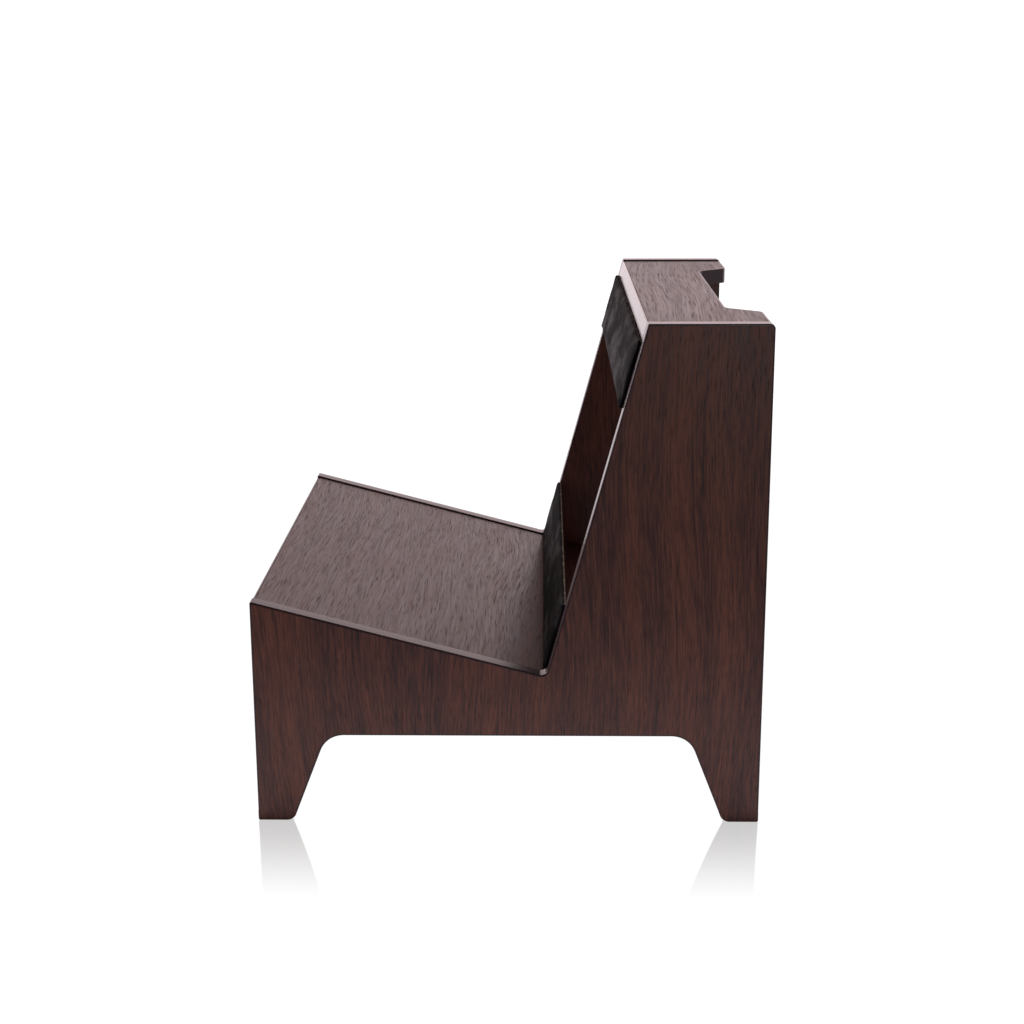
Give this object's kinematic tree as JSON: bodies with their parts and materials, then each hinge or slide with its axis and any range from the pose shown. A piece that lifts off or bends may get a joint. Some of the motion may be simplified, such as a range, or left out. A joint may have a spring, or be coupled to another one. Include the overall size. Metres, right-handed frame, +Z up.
{
  "type": "photo album stand",
  "caption": "Chair-shaped display stand of wood-grain board: arched side panels, sloping seat, notched top board and black covered pads that an album leans on.",
  "frame": {"origin": "on the floor under the centre of the stand's bounding box", "axes": "+X to the right side as seen from the front, -Y the front that the album faces, +Z up"},
  "size_m": [0.32, 0.3, 0.3],
  "materials": {
    "laminate_side": "dark walnut-grain laminate, satin, grain upright",
    "laminate_cross": "dark walnut-grain laminate, satin, grain across the stand",
    "edge_strip": "smooth dark edging strip, satin",
    "black_leather": "black covering, lightly scuffed",
    "hardboard": "bare brown hardboard",
    "beech_dowel": "bare beech"
  },
  "bodies": {
    "root": {"right_side_panel": "laminate_side", "right_outer_edging": "edge_strip", "right_arch_edging": "edge_strip", "left_side_panel": "laminate_side", "left_outer_edging": "edge_strip", "left_arch_edging": "edge_strip", "seat_board": "laminate_cross", "seat_front_edging": "edge_strip", "top_board": "laminate_cross", "top_front_edging": "edge_strip", "top_rear_edging": "edge_strip", "upper_back_rail": "laminate_cross", "lower_pad_batten": "laminate_cross", "upper_pad_cover": "black_leather", "upper_pad_slat": "hardboard", "lower_pad_cover": "black_leather", "lower_pad_slat": "hardboard", "right_seat_dowel_1": "beech_dowel", "right_seat_dowel_2": "beech_dowel", "right_top_dowel_1": "beech_dowel", "right_top_dowel_2": "beech_dowel", "right_rail_dowel_1": "beech_dowel", "right_rail_dowel_2": "beech_dowel", "left_seat_dowel_1": "beech_dowel", "left_seat_dowel_2": "beech_dowel", "left_top_dowel_1": "beech_dowel", "left_top_dowel_2": "beech_dowel", "left_rail_dowel_1": "beech_dowel", "left_rail_dowel_2": "beech_dowel"}
  },
  "joints": []
}
